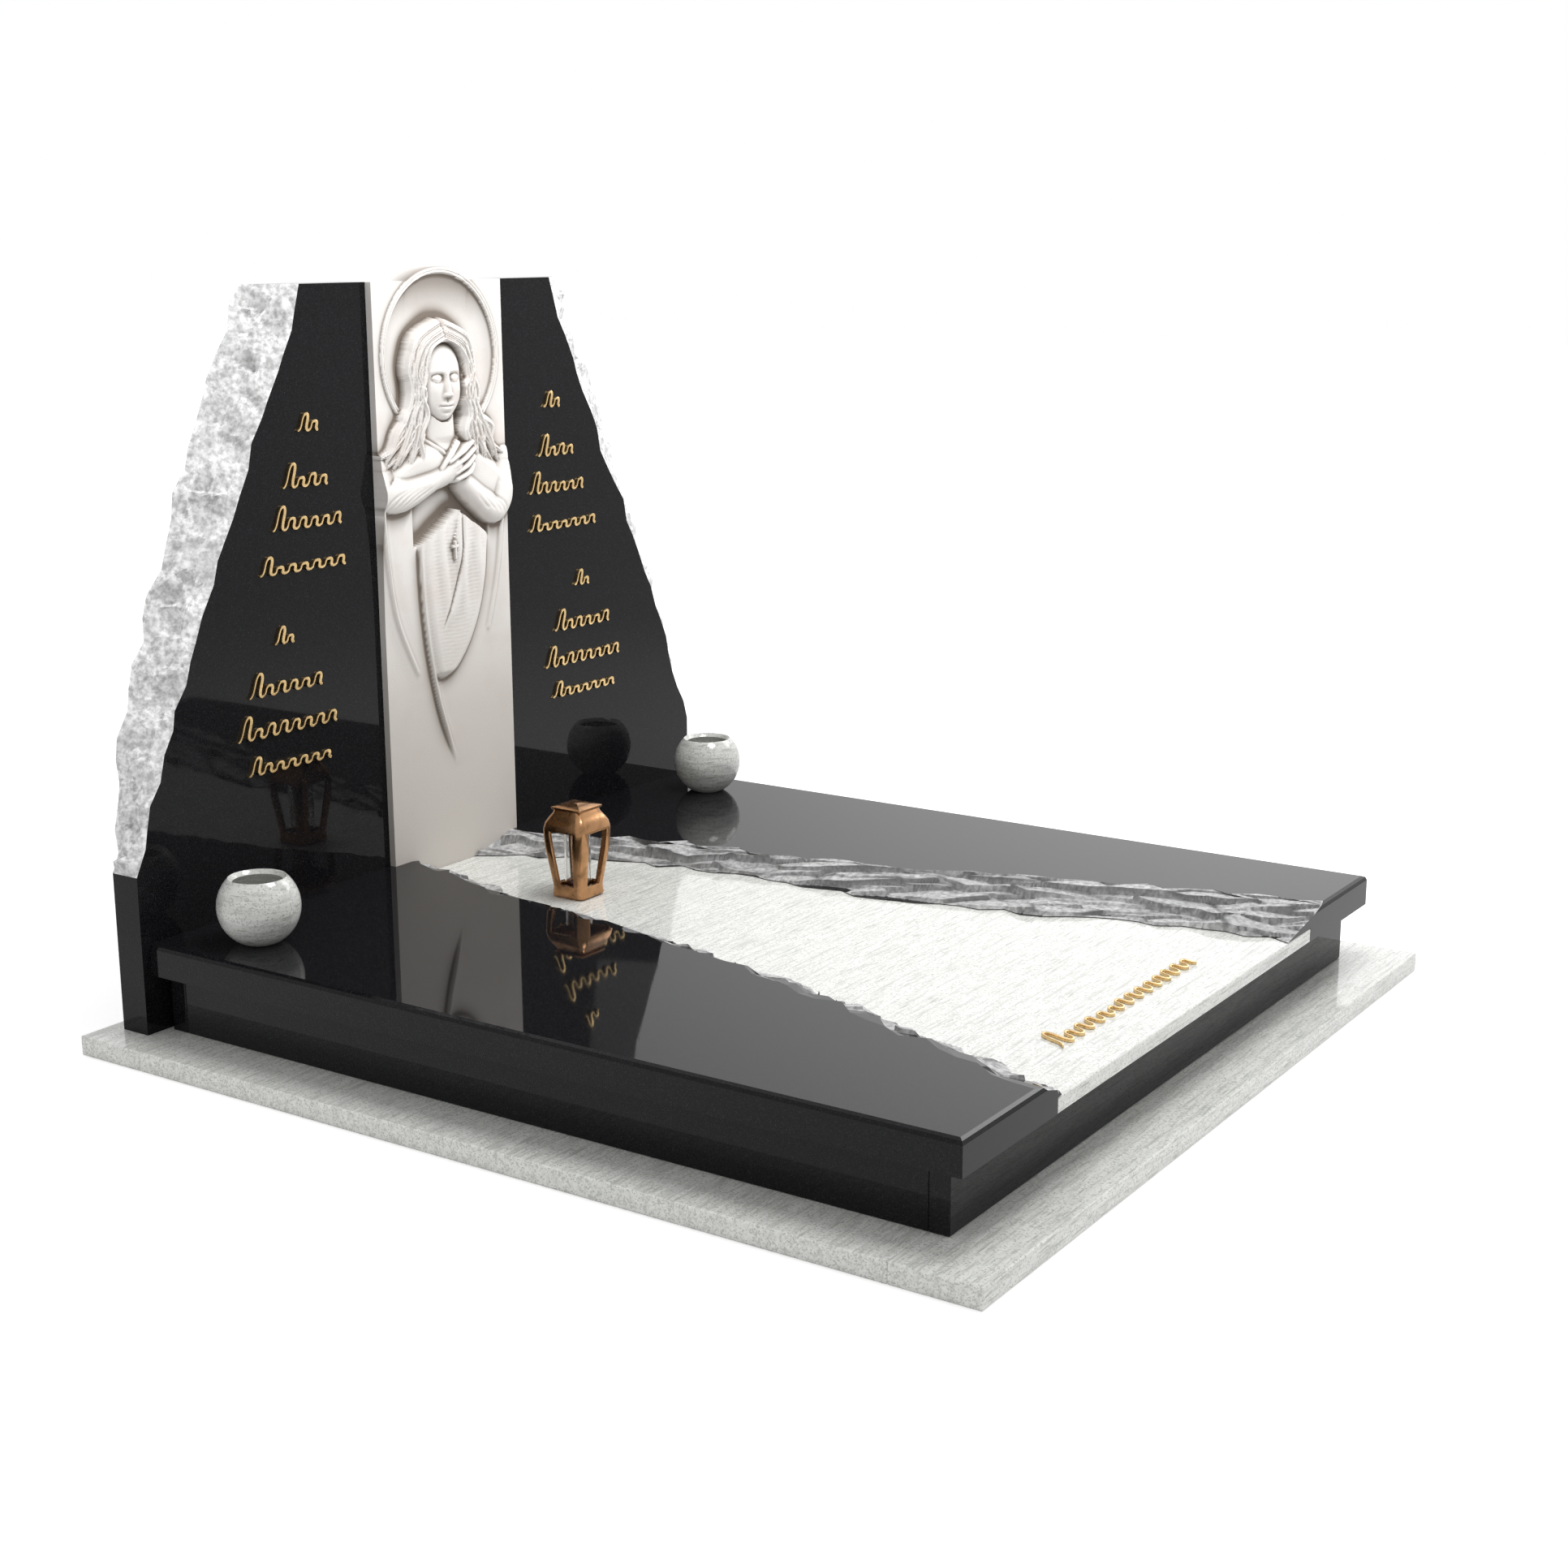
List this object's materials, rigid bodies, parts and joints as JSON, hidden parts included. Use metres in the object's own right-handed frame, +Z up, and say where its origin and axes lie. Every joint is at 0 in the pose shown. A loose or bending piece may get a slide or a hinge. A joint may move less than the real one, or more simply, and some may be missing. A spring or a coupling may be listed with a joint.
{
  "type": "double grave monument",
  "caption": "Double grave monument: pale apron, dark kerb, rough-edged ledgers beside a pale slab, headstone wings round a carved praying figure, round vases and a small lantern.",
  "frame": {"origin": "middle of the underside of the apron", "axes": "+Y from the foot to the headstone, +Z up, +X to the right seen from the foot"},
  "size_m": [1.986, 2.05, 1.5273],
  "materials": {
    "black_granite": "polished, rock-pitched edges pale grey",
    "pale_granite": "polished, streaked",
    "white_stone": "carved, matt",
    "gold": "gilded, satin",
    "bronze": "polished bronze",
    "clear_glass": "clear"
  },
  "bodies": {
    "root": {"apron_foot": "pale_granite", "apron_head": "pale_granite", "apron_left": "pale_granite", "apron_right": "pale_granite", "kerb_foot": "black_granite", "kerb_head": "black_granite", "kerb_left": "black_granite", "kerb_right": "black_granite", "centre_slab": "pale_granite", "ledger_left": "black_granite", "ledger_right": "black_granite", "wing_left": "black_granite", "wing_right": "black_granite", "relief_panel": "white_stone", "vase_left": "pale_granite", "vase_right": "pale_granite", "lantern_body": "bronze", "lantern_lid": "bronze", "lantern_glass": "clear_glass", "strokes_left_1": "gold", "strokes_left_2": "gold", "strokes_left_3": "gold", "strokes_left_4": "gold", "strokes_left_5": "gold", "strokes_left_6": "gold", "strokes_left_7": "gold", "strokes_left_8": "gold", "strokes_right_1": "gold", "strokes_right_2": "gold", "strokes_right_3": "gold", "strokes_right_4": "gold", "strokes_right_5": "gold", "strokes_right_6": "gold", "strokes_right_7": "gold", "strokes_right_8": "gold", "strokes_slab": "gold"}
  },
  "joints": []
}
